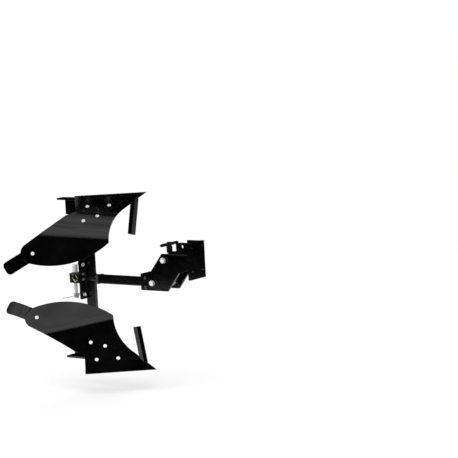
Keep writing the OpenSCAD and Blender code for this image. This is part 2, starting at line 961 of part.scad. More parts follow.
module tilt_boss() {
    translate([screw_x, 0, 0]) difference() {
        union() {
            translate([0, 0, boss_low]) cylinder(h = boss_top - boss_low, r = boss_r);
            translate([0, 0, boss_top]) cylinder(h = neck_top - boss_top, r = neck_r);
        }
        translate([0, 0, boss_low - lap]) cylinder(h = boss_depth + lap, r = screw_r);
        translate([0, 0, bar_z]) rotate([90, 0, 0])
            cylinder(h = bar_len, r = bar_r, center = true);
    }
}

module tilt_bar() {
    translate([screw_x, 0, bar_z]) rotate([90, 0, 0]) {
        cylinder(h = bar_len, r = bar_r, center = true);
        for (k = [-1, 1]) translate([0, 0, k * bar_len / 2]) sphere(r = bar_r);
    }
}

color(paint) on_axis() hub_sleeve();
color(bronze) on_axis() front_bush();
color(bronze) on_axis() rear_bush();
color(paint) on_axis() upper_side() post_bar();  // upper_post
color(paint) on_axis() post_bar();  // lower_post
color(paint) on_axis() hub_flange();
color(paint) on_axis() latch_plate();
color(zinc) on_axis() flange_bolts();
color(zinc) on_axis() flange_nuts();
color(zinc) on_axis() flange_screws();
color(olive) on_axis() latch_block();
color(zinc) on_axis() latch_guide();
color(zinc) on_axis() latch_plug();
color(paint) on_axis() share();  // lower_share
color(paint) on_axis() mouldboard();  // lower_mouldboard
color(paint) on_axis() tailpiece();  // lower_tailpiece
color(paint) on_axis() frog();  // lower_frog
color(paint) on_axis() frog_brace();  // lower_frog_brace
color(paint) on_axis() landside();  // lower_landside
color(paint) on_axis() sole();  // lower_sole
color(paint) on_axis() knife();  // lower_knife
color(paint) on_axis() stay();  // lower_stay
color(zinc) on_axis() plough_bolts();  // lower_plough_bolts
color(zinc) on_axis() plough_nuts();  // lower_plough_nuts
color(paint) on_axis() upper_side() share();  // upper_share
color(paint) on_axis() upper_side() mouldboard();  // upper_mouldboard
color(paint) on_axis() upper_side() tailpiece();  // upper_tailpiece
color(paint) on_axis() upper_side() frog();  // upper_frog
color(paint) on_axis() upper_side() frog_brace();  // upper_frog_brace
color(paint) on_axis() upper_side() landside();  // upper_landside
color(paint) on_axis() upper_side() sole();  // upper_sole
color(paint) on_axis() upper_side() knife();  // upper_knife
color(paint) on_axis() upper_side() stay();  // upper_stay
color(zinc) on_axis() upper_side() plough_bolts();  // upper_plough_bolts
color(zinc) on_axis() upper_side() plough_nuts();  // upper_plough_nuts
color(paint) on_axis() beam_tube();
color(steel) on_axis() beam_shaft();
color(zinc) on_axis() thrust_plate();
color(zinc) on_axis() retaining_washer();
color(steel) on_axis() retaining_ring();
color(paint) on_axis() beam_head();
color(zinc) on_axis() clamp_screws();  // head_clamp_screws
color(steel) on_axis() tilt_nut();
color(zinc) on_axis() latch_rod();
color(zinc) on_axis() latch_nut();
color(zinc) on_axis() latch_spring();
color(zinc) on_axis() release_wire();
color(paint) on_axis() left_cheek();
color(paint) on_axis() right_cheek();
color(paint) on_axis() mount_plate();
color(paint) on_axis() top_strap();
color(steel) on_axis() trunnion();
color(zinc) on_axis() pivot_bolt();
color(zinc) on_axis() pivot_nut();
color(zinc) on_axis() pivot_washers();
color(zinc) on_axis() upper_bolts();
color(zinc) on_axis() tilt_spindle();
color(zinc) on_axis() tilt_boss();
color(zinc) on_axis() tilt_bar();
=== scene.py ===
"""Turn-over walk-behind plough: finishes, welds, threads, spring, wire and studio.

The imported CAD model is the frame. Lengths are in metres; mm() turns the drawing's
sizes, measured from the share tip and the turning axis, into the frame.
"""
import math

import bpy
from mathutils import Matrix, Vector
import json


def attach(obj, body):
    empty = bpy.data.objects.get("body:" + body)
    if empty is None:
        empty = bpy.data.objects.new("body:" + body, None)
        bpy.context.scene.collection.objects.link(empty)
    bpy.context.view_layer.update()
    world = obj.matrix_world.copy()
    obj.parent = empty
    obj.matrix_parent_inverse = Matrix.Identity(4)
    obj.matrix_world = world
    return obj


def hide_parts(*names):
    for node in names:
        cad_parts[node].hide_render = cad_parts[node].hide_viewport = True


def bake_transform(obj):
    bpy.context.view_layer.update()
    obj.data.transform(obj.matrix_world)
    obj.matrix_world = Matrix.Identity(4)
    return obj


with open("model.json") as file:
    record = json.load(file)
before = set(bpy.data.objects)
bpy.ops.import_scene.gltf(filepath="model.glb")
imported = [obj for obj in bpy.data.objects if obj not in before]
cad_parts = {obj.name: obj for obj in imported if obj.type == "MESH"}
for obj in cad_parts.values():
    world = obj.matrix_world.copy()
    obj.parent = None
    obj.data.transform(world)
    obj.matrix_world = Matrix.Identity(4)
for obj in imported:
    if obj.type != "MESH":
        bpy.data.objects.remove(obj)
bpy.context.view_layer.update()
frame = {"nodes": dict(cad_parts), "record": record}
nodes = frame["nodes"]

# Drawing sizes in mm: X forward from the share tip, Y to the left, Z up from the turning axis

# Share tip and turning axis against the frame's origin
TIP_BACK = 206.0
AXIS_DROP = 84.0

# Share and rolled board
EDGE_DEPTH = 315.0
EDGE_ANGLE = 39.0
SHARE_SLOPE = 46.5
SHARE_LENGTH = 250.0
SHARE_WIDTH = 83.0
SEAM_ANGLE = 9.6
PLATE = 5.0
FROG = 8.0
ROLL_RADIUS = 147.0
ROLL_ANGLE = 50.5

# Landside, sole, brace, stay and knife of the lower body
LAND_LEFT = 6.0
LAND_THICK = 8.0
LAND_TOP = 84.0 - EDGE_DEPTH
SOLE_TOP = 29.0 - EDGE_DEPTH
BRACE_FOOT = 44.0 - EDGE_DEPTH
BRACE_THICK = 8.0
STAY_TOP = 156.0 - EDGE_DEPTH
KNIFE_FRONT = -32.0
KNIFE_REAR = -60.0

# Post, hub and flange
POST_BACK = 260.0
POST_WIDTH = 39.0
POST_THICK = 14.0
POST_REAR = -POST_BACK - POST_WIDTH / 2
POST_FRONT = -POST_BACK + POST_WIDTH / 2
POST_LEFT = LAND_LEFT - LAND_THICK
POST_RIGHT = POST_LEFT - POST_THICK
POST_LOW = BRACE_FOOT + BRACE_THICK
HUB_RADIUS = 17.0
FLANGE_THICK = 5.0
FLANGE_LOW = -71.0
LATCH_PLATE_REAR = POST_REAR - 2 * FLANGE_THICK
FLANGE_BOLT_Y = 31.0
FLANGE_BOLT_Z = 54.5

# Latch: block, guide, rod, spring, nut and wire eye
BLOCK_HALF = 17.5
GUIDE_RADIUS = 10.0
ROD_X = LATCH_PLATE_REAR - 51.5
ROD_NUT = 8.0
SPRING_OUTER = 16.0
SPRING_WIRE = 1.8
SPRING_LENGTH = 41.0
SPRING_TOP = -BLOCK_HALF
SPRING_FOOT = SPRING_TOP - SPRING_LENGTH
ROD_NUT_FOOT = SPRING_FOOT - ROD_NUT
EYE_Z = ROD_NUT_FOOT - 2.2
ROD_THREAD = 4.8
RELEASE_WIRE = 3.0

# Beam
TUBE_HALF = 15.0
TUBE_REAR = -223.7
HEAD_REAR = -21.0

# Hitch and pitch screw
CHEEK_IN = 29.0
CHEEK_OUT = 37.0
CHEEK_TOP = 106.0
CHEEK_CORNER = 55.0
STRAP_REAR = 112.0
EAR_REAR = 145.0
PLATE_REAR = 196.0
PLATE_TOP = 147.0
PIVOT_X = 38.0
PIVOT_Z = 3.0
SCREW_X = 90.0
SPINDLE_LOW = -16.0
TILT_NUT_LOW = -9.0
TILT_NUT_HIGH = 15.0
TILT_NUT_TRAVEL = 4.2
LOW_COLLAR = 63.5
HIGH_COLLAR = 102.5
BOSS_LOW = 107.0

# Heights of the 8 mm bolts' washers and nuts and of the hitch's 12 mm ones
WASHER = 1.6
NUT = 6.5
HITCH_WASHER = 2.5
HITCH_NUT = 10.0

# Threads: radius to the ridge's middle and pitch, the ridge's own radius, length on a bolt's tail
THREAD_8 = (3.95, 1.25)
THREAD_10 = (4.95, 1.25)
THREAD_12 = (5.95, 1.75)
FINE_RIDGE = 0.4
COARSE_RIDGE = 0.52
TAIL_THREAD = 2.7

# Weld beads: distance of a bead's middle from both faces that it joins
WELD_GAP = 0.4
CLOSE_WELD_GAP = 0.3


def mm(x, y, z):
    """A point of the drawing, from the share tip on the turning axis."""
    return Vector(((x - TIP_BACK) / 1000, y / 1000, (z - AXIS_DROP) / 1000))


def metres(run):
    return [mm(*p) for p in run]


def turn(axis, degrees):
    return Matrix.Rotation(math.radians(degrees), 4, axis)


def shift(x, y, z):
    return Matrix.Translation((x, y, z))


def heading(azimuth, elevation):
    """Unit vector outwards: degrees from the right side round to the front, then upwards."""
    a, e = math.radians(azimuth), math.radians(elevation)
    return Vector((math.sin(a) * math.cos(e), -math.cos(a) * math.cos(e), math.sin(e)))


# Frames of the lower body, in mm: cutting edge, share face, rolled board
BODY = shift(0, LAND_LEFT, -EDGE_DEPTH) @ turn("Z", EDGE_ANGLE)
SHARE = BODY @ turn("X", SHARE_SLOPE)
BOARD = SHARE @ shift(-SHARE_LENGTH, SHARE_WIDTH, 0) @ turn("Z", SEAM_ANGLE)


def on_board(along, angle, past=0.0):
    """Frame on the working face: along the seam, round the roll, past it on the flat."""
    return (BOARD @ shift(0, 0, ROLL_RADIUS) @ turn("X", angle)
            @ shift(along, past, -ROLL_RADIUS))


def both_bodies(points):
    """The points of the lower body and the same mirrored to the upper one."""
    return [points, [Vector((p.x, p.y, -p.z)) for p in points]]


# Node trees for finishes

class Finish:
    """A material whose nodes are added one at a time."""

    def __init__(self, name):
        self.material = bpy.data.materials.new(name)
        self.material.use_nodes = True
        self.tree = self.material.node_tree
        self.shader = next(n for n in self.tree.nodes if n.type == "BSDF_PRINCIPLED")
        self.place = self.add("ShaderNodeTexCoord").outputs["Object"]

    def add(self, kind, links=None, values=None, **settings):
        made = self.tree.nodes.new(kind)
        for key, value in settings.items():
            setattr(made, key, value)
        for key, value in (values or {}).items():
            made.inputs[key].default_value = value
        for key, source in (links or {}).items():
            self.tree.links.new(source, made.inputs[key])
        return made

    def noise(self, scale, detail=3.0, rough=0.5, stretch=None, tilt=None):
        """Noise by place on the piece; stretch lengthens it per axis, tilt turns it in degrees."""
        source = self.place
        if stretch or tilt:
            source = self.add("ShaderNodeMapping", {"Vector": source}, {
                "Scale": stretch or (1, 1, 1),
                "Rotation": tuple(math.radians(a) for a in tilt or (0, 0, 0))},
                vector_type="TEXTURE").outputs[0]
        return self.add("ShaderNodeTexNoise", {"Vector": source},
                        {"Scale": scale, "Detail": detail, "Roughness": rough}).outputs["Fac"]

    def span(self, value, low, high, to_low=0.0, to_high=1.0):
        """Carries low to to_low and high to to_high, and stops there."""
        return self.add("ShaderNodeMapRange", {"Value": value},
                        {"From Min": low, "From Max": high,
                         "To Min": to_low, "To Max": to_high}).outputs[0]

    def maths(self, operation, a, b):
        made = self.add("ShaderNodeMath", operation=operation)
        for socket, value in zip(made.inputs, (a, b)):
            if isinstance(value, (int, float)):
                socket.default_value = value
            else:
                self.tree.links.new(value, socket)
        return made.outputs[0]

    def blend(self, factor, a, b):
        """Colour a where factor is 0 and b where it is 1."""
        made = self.add("ShaderNodeMix", data_type="RGBA")
        colours = [s for s in made.inputs if s.type == "RGBA"]
        self.tree.links.new(factor, made.inputs[0])
        for socket, value in zip(colours, (a, b)):
            if isinstance(value, tuple):
                socket.default_value = (*value, 1.0)
            else:
                self.tree.links.new(value, socket)
        return next(s for s in made.outputs if s.type == "RGBA")

    def edges(self, radius):
        """Rounded normal, and a mask that is 1 on worn arrises and 0 on flats."""
        soft = self.add("ShaderNodeBevel", values={"Radius": radius}, samples=8).outputs[0]
        flat = self.add("ShaderNodeNewGeometry").outputs["Normal"]
        along = self.add("ShaderNodeVectorMath", operation="DOT_PRODUCT")
        self.tree.links.new(soft, along.inputs[0])
        self.tree.links.new(flat, along.inputs[1])
        return soft, self.span(along.outputs["Value"], 0.985, 0.86)

    def relief(self, height, strength, depth, normal=None):
        made = self.add("ShaderNodeBump", {"Height": height},
                        {"Strength": strength, "Distance": depth})
        if normal is not None:
            self.tree.links.new(normal, made.inputs["Normal"])
        return made.outputs[0]

    def feed(self, **sources):
        """Sets or links the shader's own sockets and returns the material."""
        for key, source in sources.items():
            socket = self.shader.inputs[key.replace("_", " ")]
            if isinstance(source, tuple):
                socket.default_value = (*source, 1.0)
            elif isinstance(source, (int, float)):
                socket.default_value = source
            else:
                self.tree.links.new(source, socket)
        return self.material


def black_enamel():
    """Glossy black enamel over cut plate: orange peel, slow waves, thin dust, worn arrises."""
    f = Finish("black_enamel")
    soft, worn = f.edges(0.0010)
    chips = f.span(f.noise(260, 4, 0.7), 0.58, 0.64)
    bare = f.maths("MULTIPLY", worn, chips)
    depth = f.span(f.noise(9, 3), 0.35, 0.7)
    tone = f.blend(depth, (0.0004, 0.0004, 0.0004), (0.0016, 0.0016, 0.0017))
    specks = f.span(f.noise(420, 3, 0.7), 0.5, 0.78)
    drifts = f.span(f.noise(16, 3, 0.6), 0.4, 0.66)
    dust = f.maths("MULTIPLY", specks, drifts)
    tone = f.blend(f.maths("MULTIPLY", dust, 0.2), tone, (0.06, 0.06, 0.058))
    tone = f.blend(f.maths("MULTIPLY", bare, 0.6), tone, (0.25, 0.25, 0.25))
    rough = f.span(f.noise(34, 4, 0.6), 0.3, 0.75, 0.04, 0.09)
    rough = f.maths("ADD", rough, f.maths("MULTIPLY", bare, 0.25))
    wave = f.relief(f.noise(7, 2, 0.4), 0.25, 0.002, soft)
    roll = f.relief(f.noise(34, 2, 0.45), 0.5, 0.00025, wave)
    peel = f.relief(f.noise(190, 3, 0.55), 0.7, 0.00012, roll)
    return f.feed(Base_Color=tone, Roughness=rough, Normal=peel,
                  Metallic=f.maths("MULTIPLY", bare, 0.9), IOR=1.5)


def bright_zinc(name="bright_zinc", light=0.9, rough=(0.36, 0.52), metal=0.28, lapped_paint_and_shade=None):
    """Zinc plate: a little cloudy, with fine grain; black paint and painted shade on head rims
    where the given mask says so.
    """
    f = Finish(name)
    soft, worn = f.edges(0.0005)
    cloud = f.span(f.noise(120, 4, 0.6), 0.3, 0.72)
    dull = (light * 0.86, light * 0.87, light * 0.88)
    clean = (light, light * 0.99, light * 0.97)
    tone = f.blend(cloud, dull, clean)
    tone = f.blend(f.maths("MULTIPLY", worn, 0.5), tone, (0.95, 0.95, 0.95))
    if lapped_paint_and_shade:
        # near black where the mask is: black paint, and painted shade on head rims
        tone = f.blend(lapped_paint_and_shade(f), tone, (0.004, 0.004, 0.004))
    gloss = f.span(f.noise(300, 3, 0.5), 0.3, 0.7, *rough)
    grain = f.relief(f.noise(2600, 3, 0.6), 0.25, 0.00008, soft)
    return f.feed(Base_Color=tone, Roughness=gloss, Normal=grain, Metallic=metal)


def paint_and_shade_on_rim(f):
    """Paint that has run over the edge of a head, and painted shade on the head's rim."""
    # dark ring round a head's rim: lapped paint, and painted shade on the rim
    rim = f.edges(0.0034)[1]
    return f.span(f.maths("ADD", rim, f.maths("MULTIPLY", f.noise(500, 2), 0.3)), 0.22, 0.34)


def paint_under_head_and_rim_shade(axis, washer, head):
    """Paint on the washer, and paint with painted shade on the head's rim; washer and head are
    places along an axis.
    """
    def mask(f):
        apart = f.add("ShaderNodeSeparateXYZ", {"Vector": f.place}).outputs[axis]
        below = f.span(f.maths("ABSOLUTE", apart, 0), head, washer)
        return f.maths("MAXIMUM", below, paint_and_shade_on_rim(f))
    return mask


def yellow_zinc():
    """Yellow chromate on zinc: almost black olive, pale straw streaks that are chromate streaks
    and also painted highlights, and a faint pink bloom.
    """
    f = Finish("yellow_zinc")
    soft, worn = f.edges(0.0007)
    straw = (0.72, 0.70, 0.48)
    # pale straw diagonal streaks: chromate streaks, and painted highlight lines across the block
    straw_streak_and_highlight = f.span(f.noise(230, 3, 0.6, (1, 1, 6), (0, -40, 0)), 0.59, 0.65)
    cloud = f.span(f.noise(60, 4, 0.65), 0.36, 0.66)
    tone = f.blend(cloud, (0.001, 0.001, 0.0004), (0.007, 0.0065, 0.002))
    tone = f.blend(straw_streak_and_highlight, tone, straw)
    bloom = f.span(f.noise(38, 2), 0.6, 0.74)
    tone = f.blend(f.maths("MULTIPLY", bloom, 0.04), tone, (0.34, 0.2, 0.15))
    tone = f.blend(f.maths("MULTIPLY", worn, 0.7), tone, straw)
    gloss = f.span(f.noise(240, 3), 0.3, 0.7, 0.26, 0.44)
    grain = f.relief(f.noise(900, 3, 0.6), 0.3, 0.00012, soft)
    return f.feed(Base_Color=tone, Roughness=gloss, Normal=grain,
                  Metallic=0.15, Specular_IOR_Level=0.15)


def turned_metal(name, colour):
    """Oiled turned steel or bronze with tool rings round the turning axis."""
    f = Finish(name)
    soft, worn = f.edges(0.0005)
    rings = f.noise(900, 2, 0.5, (1, 16, 16))
    stain = f.span(f.noise(45, 4, 0.6), 0.35, 0.7)
    dark = tuple(c * 0.6 for c in colour)
    rubbed = tuple(min(1, c * 1.5) for c in colour)
    tone = f.blend(stain, dark, colour)
    tone = f.blend(f.maths("MULTIPLY", worn, 0.4), tone, rubbed)
    return f.feed(Base_Color=tone, Roughness=f.span(rings, 0.3, 0.7, 0.22, 0.4),
                  Normal=f.relief(rings, 0.3, 0.0001, soft), Metallic=1.0)


def painted_weld():
    """The same black enamel over weld ripples, a little rougher."""
    f = Finish("painted_weld")
    depth = f.span(f.noise(300, 3), 0.4, 0.7)
    tone = f.blend(depth, (0.003, 0.003, 0.003), (0.012, 0.012, 0.012))
    gloss = f.span(f.noise(200, 3), 0.3, 0.7, 0.14, 0.3)
    grit = f.relief(f.noise(1600, 3, 0.6), 0.3, 0.0002)
    return f.feed(Base_Color=tone, Roughness=gloss, Normal=grit)


finishes = {
    "black_paint": black_enamel(),
    "zinc": bright_zinc(),
    "screw_zinc": bright_zinc("screw_zinc", 0.012, (0.3, 0.48), 0.45),
    "spring_steel": bright_zinc("spring_wire", 0.95, (0.3, 0.45), 0.1),
    "steel": turned_metal("turned_steel", (0.50, 0.50, 0.51)),
    "bronze": turned_metal("bearing_bronze", (0.55, 0.36, 0.16)),
    "olive_zinc": yellow_zinc(),
}
weld_paint = painted_weld()
dull_zinc = bright_zinc("dull_zinc", 0.06, (0.4, 0.55), 0.4)
# zinc darkened to 0.2 lightness for screws that sit in a recess: painted shade of the recess
shaded_recess_zinc = bright_zinc("shaded_recess_zinc", 0.2, (0.4, 0.55), 0.3)
wire_zinc = bright_zinc("wire_zinc", 0.5, (0.3, 0.45), 0.3)
nut_zinc = bright_zinc("nut_zinc", 0.42, (0.35, 0.5), 0.2)
pale_zinc = bright_zinc("pale_zinc", 0.97, (0.4, 0.55), 0.1)

# Bolts painted over with their plates under their heads; round the heads' rims a dark ring that is
# lapped paint and also painted shade.
# A head begins where its washer ends, so the paint stops there within 0.2 mm.
PAINT_EDGE = 0.0002
flange_head = (TIP_BACK - POST_REAR - WASHER) / 1000
hitch_head = (CHEEK_OUT + HITCH_WASHER) / 1000
sunk_zinc = bright_zinc("sunk_bolt_zinc", 0.95, lapped_paint_and_shade=paint_and_shade_on_rim)
flange_zinc = bright_zinc("flange_bolt_zinc", 0.97, metal=0.1,
                          lapped_paint_and_shade=paint_under_head_and_rim_shade(0, flange_head, flange_head - PAINT_EDGE))
hitch_zinc = bright_zinc("hitch_bolt_zinc", 0.9,
                         lapped_paint_and_shade=paint_under_head_and_rim_shade(1, hitch_head, hitch_head + PAINT_EDGE))

for row in frame["record"]["subparts"]:
    piece = nodes[row["node"]]
    piece.data.materials.clear()
    piece.data.materials.append(finishes[row["material_slot"]])
for coat, names in (
        (dull_zinc, ("thrust_plate", "head_clamp_screws")),
        # flange screws in the darkened zinc: painted shade of their recess
        (shaded_recess_zinc, ("flange_screws",)),
        (nut_zinc, ("latch_nut",)),
        (pale_zinc, ("latch_guide", "latch_plug", "latch_rod")),
        (weld_paint, ("hub_sleeve",)),
        (sunk_zinc, ("lower_plough_bolts", "upper_plough_bolts")),
        (flange_zinc, ("flange_bolts",)),
        (hitch_zinc, ("upper_bolts", "pivot_bolt")),
        (finishes["black_paint"], ("pivot_washers",))):
    for name in names:
        nodes[name].data.materials[0] = coat


# Geometry Nodes trees for what follows a path

def path_mesh(name, paths):
    """Open polylines as one mesh of edges."""
    verts, edges = [], []
    for points in paths:
        first = len(verts)
        verts += [tuple(p) for p in points]
        edges += [(first + i, first + i + 1) for i in range(len(points) - 1)]
    mesh = bpy.data.meshes.new(name)
    mesh.from_pydata(verts, edges, [])
    return mesh


def new_tree(name, inputs):
    """An empty tree with geometry in and out and the named inputs, and its two end nodes."""
    tree = bpy.data.node_groups.new(name, "GeometryNodeTree")
    tree.interface.new_socket("Geometry", in_out="INPUT", socket_type="NodeSocketGeometry")
    for label, kind, value in inputs:
        socket = tree.interface.new_socket(label, in_out="INPUT", socket_type=kind)
        if value is not None:
            socket.default_value = value
    tree.interface.new_socket("Geometry", in_out="OUTPUT", socket_type="NodeSocketGeometry")
    return tree, tree.nodes.new("NodeGroupInput"), tree.nodes.new("NodeGroupOutput")


def wire_tree():
    """Sweeps a round wire along every path."""
    tree, start, end = new_tree("wire_along", [
        ("Wire Radius", "NodeSocketFloat", 0.001), ("Sides", "NodeSocketInt", 12),
        ("Finish", "NodeSocketMaterial", None)])
    curve = tree.nodes.new("GeometryNodeMeshToCurve")
    section = tree.nodes.new("GeometryNodeCurvePrimitiveCircle")
    sweep = tree.nodes.new("GeometryNodeCurveToMesh")
    sweep.inputs["Fill Caps"].default_value = True
    smooth = tree.nodes.new("GeometryNodeSetShadeSmooth")
    real = tree.nodes.new("GeometryNodeRealizeInstances")
    paint = tree.nodes.new("GeometryNodeSetMaterial")
    join = tree.links.new
    join(start.outputs["Geometry"], curve.inputs[0])
    join(start.outputs["Wire Radius"], section.inputs["Radius"])
    join(start.outputs["Sides"], section.inputs["Resolution"])
    join(curve.outputs[0], sweep.inputs["Curve"])
    join(section.outputs["Curve"], sweep.inputs["Profile Curve"])
    join(sweep.outputs[0], smooth.inputs["Geometry"])
    join(smooth.outputs[0], real.inputs[0])
    join(real.outputs[0], paint.inputs["Geometry"])
    join(start.outputs["Finish"], paint.inputs["Material"])
    join(paint.outputs[0], end.inputs[0])
    return tree


def bead_tree():
    """Lays overlapping weld ripples along every path."""
    tree, start, end = new_tree("weld_bead_along", [
        ("Bead Radius", "NodeSocketFloat", 0.0025), ("Ripple Pitch", "NodeSocketFloat", 0.0016),
        ("Seed", "NodeSocketInt", 3), ("Finish", "NodeSocketMaterial", None)])
    curve = tree.nodes.new("GeometryNodeMeshToCurve")
    spread = tree.nodes.new("GeometryNodeResampleCurve")
    spread.mode = "LENGTH"
    tangent = tree.nodes.new("GeometryNodeInputTangent")
    aim = tree.nodes.new("FunctionNodeAlignRotationToVector")
    aim.axis = "Z"
    ripple = tree.nodes.new("GeometryNodeMeshUVSphere")
    ripple.inputs["Segments"].default_value = 8
    ripple.inputs["Rings"].default_value = 5
    ripple.inputs["Radius"].default_value = 1.0
    size = tree.nodes.new("FunctionNodeRandomValue")
    size.data_type = "FLOAT_VECTOR"
    size.inputs[0].default_value = (0.85, 0.85, 0.55)
    size.inputs[1].default_value = (1.15, 1.1, 0.8)
    scale = tree.nodes.new("ShaderNodeVectorMath")
    scale.operation = "SCALE"
    place = tree.nodes.new("GeometryNodeInstanceOnPoints")
    real = tree.nodes.new("GeometryNodeRealizeInstances")
    smooth = tree.nodes.new("GeometryNodeSetShadeSmooth")
    paint = tree.nodes.new("GeometryNodeSetMaterial")
    join = tree.links.new
    join(start.outputs["Geometry"], curve.inputs[0])
    join(curve.outputs[0], spread.inputs["Curve"])
    join(start.outputs["Ripple Pitch"], spread.inputs["Length"])
    join(tangent.outputs[0], aim.inputs["Vector"])
    join(spread.outputs[0], place.inputs["Points"])
    join(ripple.outputs["Mesh"], place.inputs["Instance"])
    join(aim.outputs[0], place.inputs["Rotation"])
    join(start.outputs["Seed"], size.inputs["Seed"])
    join(size.outputs[0], scale.inputs[0])
    join(start.outputs["Bead Radius"], scale.inputs["Scale"])
    join(scale.outputs[0], place.inputs["Scale"])
    join(place.outputs[0], real.inputs[0])
    join(real.outputs[0], smooth.inputs["Geometry"])
    join(smooth.outputs[0], paint.inputs["Geometry"])
    join(start.outputs["Finish"], paint.inputs["Material"])
    join(paint.outputs[0], end.inputs[0])
    return tree


WIRE = wire_tree()
BEAD = bead_tree()


def along_paths(name, tree, paths, settings):
    """Runs a tree over paths and returns the result as a plain mesh object."""
    carrier = bpy.data.objects.new(name + "_path", path_mesh(name + "_path", paths))
    bpy.context.scene.collection.objects.link(carrier)
    maker = carrier.modifiers.new("maker", "NODES")
    maker.node_group = tree
    sockets = {s.name: s.identifier for s in tree.interface.items_tree if s.in_out == "INPUT"}
    for label, value in settings.items():
        maker[sockets[label]] = value
    carrier.update_tag()
    graph = bpy.context.evaluated_depsgraph_get()
    mesh = bpy.data.meshes.new_from_object(carrier.evaluated_get(graph))
    mesh.name = name
    piece = bpy.data.objects.new(name, mesh)
    bpy.context.scene.collection.objects.link(piece)
    old = carrier.data
    bpy.data.objects.remove(carrier)
    bpy.data.meshes.remove(old)
    return piece


def wire_piece(name, runs, radius, sides, slot):
    """Round wire along runs in mm, with the finish of a slot."""
    return along_paths(name, WIRE, [metres(run) for run in runs], {
        "Wire Radius": radius / 1000, "Sides": sides, "Finish": finishes[slot]})


def helix(base, axis, radius, pitch, length, steps=16):
    """Points of a screw line round an axis, from a base point."""
    axis = axis.normalized()
    side = axis.orthogonal().normalized()
    other = axis.cross(side)
    count = max(2, int(length / pitch * steps))
    return [base + axis * (length * i / count)
            + side * (radius * math.cos(2 * math.pi * i / steps))
            + other * (radius * math.sin(2 * math.pi * i / steps)) for i in range(count + 1)]


# Weld beads, painted over with their pieces

def rear_of_share(x, y, depth):
    """Height where the upright through x, y meets the plane that deep behind the share."""
    point = SHARE @ Vector((0, 0, -depth))
    normal = (SHARE.to_3x3() @ Vector((0, 0, 1))).normalized()
    return point.z - (normal.x * (x - point.x) + normal.y * (y - point.y)) / normal.z


def meets_roll(start, end):
    """Point of a line where it reaches the back of the rolled board."""
    undo = BOARD.inverted()

    def reach(t):
        p = undo @ start.lerp(end, t)
        return math.hypot(p.y, p.z - ROLL_RADIUS) - ROLL_RADIUS - PLATE
    low, high = 0.0, 1.0
    for _ in range(40):
        middle = (low + high) / 2
        if reach(middle) > 0:
            low = middle
        else:
            high = middle
    return start.lerp(end, low)


def under_hub(y):
    """Height of the hub's under side beside the turning axis."""
    return -math.sqrt(HUB_RADIUS ** 2 - y * y)


def level(rear, front, y, z):
    """Straight run along X."""
    return [(rear, y, z), (front, y, z)]


def upright(x, y, start, end):
    """Straight run along Z."""
    return [(x, y, start), (x, y, end)]


def ring(x, radius, first, last, steps=24):
    """Arc about the turning axis, angles from straight down towards the left side."""
    return [Vector((x, radius * math.sin(a), -radius * math.cos(a)))
            for a in (math.radians(first + (last - first) * i / steps) for i in range(steps + 1))]


def frame_run(x, half):
    """Square run round the axis."""
    corners = [(-half, -half), (half, -half), (half, half), (-half, half), (-half, -half)]
    return [Vector((x, y, z)) for y, z in corners]


def post_welds(gap=WELD_GAP):
    """Lower post to the hub, to the flange, and to its brace and landside."""
    foot = POST_LOW + gap
    inner = POST_LEFT - gap
    outer = POST_LEFT + gap
    right = POST_RIGHT - gap
    to_hub = [
        level(POST_REAR, POST_FRONT, outer, under_hub(POST_LEFT) - gap),
        [(POST_FRONT + gap, y, under_hub(y) - gap) for y in (POST_RIGHT, -12, -8, -5, POST_LEFT)]]
    to_flange = [
        upright(POST_REAR + gap, outer, -20, FLANGE_LOW + 1),
        upright(POST_REAR + gap, right, -9, FLANGE_LOW + 1)]
    to_foot = [
        level(POST_REAR, POST_FRONT, right, foot),
        [(POST_FRONT + gap, POST_RIGHT, foot), (POST_FRONT + gap, POST_LEFT, foot)],
        upright(POST_FRONT + gap, inner, foot, LAND_TOP - 1),
        upright(POST_REAR - gap, inner, foot, LAND_TOP - 1),
        level(POST_REAR, POST_FRONT, outer, LAND_TOP + gap)]
    return to_hub + to_flange + to_foot


def landside_welds(gap=WELD_GAP):
    """Lower landside to the brace, under and above it, and to the sole."""
    inner = POST_LEFT - gap
    return [
        level(-278, -150, inner, BRACE_FOOT - gap),
        level(-236, -160, inner, POST_LOW + gap),
        level(-360, -190, inner, SOLE_TOP + gap)]


def frog_welds():
    """Lower brace to the frog, on its under side."""
    under = BRACE_FOOT - CLOSE_WELD_GAP
    return [[(-133, -25, under), (-221, -96, under)]]


def knife_welds(gap=WELD_GAP):
    """Both sides of the lower knife to the share, 4 mm short of its edges."""
    edges = (KNIFE_REAR + 4, KNIFE_FRONT - 4)
    return [[(x, side + out, rear_of_share(x, side, PLATE) - gap) for x in edges]
            for side, out in ((LAND_LEFT, gap), (POST_LEFT, -gap))]


def stay_to_post(gap=WELD_GAP):
    return level(-275, -250, POST_RIGHT - gap, STAY_TOP + gap)


def stay_to_board(gap=WELD_GAP):
    """The stay runs away from the post, leaning rearwards, until it meets the rolled board."""
    reach = Vector((-16, -124, 0))
    starts = [Vector((x, POST_RIGHT, STAY_TOP + gap)) for x in (-274, -266, -258, -251)]
    return [meets_roll(start, start + reach) for start in starts]


def rotor_welds(gap=WELD_GAP):
    """Both bodies' beads, and those round the hub, the latch block and its guide."""
    runs = []
    lower = post_welds() + landside_welds() + frog_welds()
    lower += [stay_to_post()] + knife_welds() + [stay_to_board()]
    for run in lower:
        runs += both_bodies([Vector(p) for p in run])
    # hub to flange, outside the posts
    runs.append(ring(POST_REAR + gap, HUB_RADIUS + gap, -6, 186))
    runs.append(ring(POST_REAR + gap, HUB_RADIUS + gap, -74, -106, 8))
    # block to latch plate, guide to block
    runs.append(frame_run(LATCH_PLATE_REAR - gap, BLOCK_HALF + gap))
    round_guide = GUIDE_RADIUS + CLOSE_WELD_GAP
    runs.append([Vector((ROD_X + round_guide * math.cos(a), round_guide * math.sin(a),
                         BLOCK_HALF + gap))
                 for a in (math.radians(d) for d in range(0, 361, 12))])
    return runs


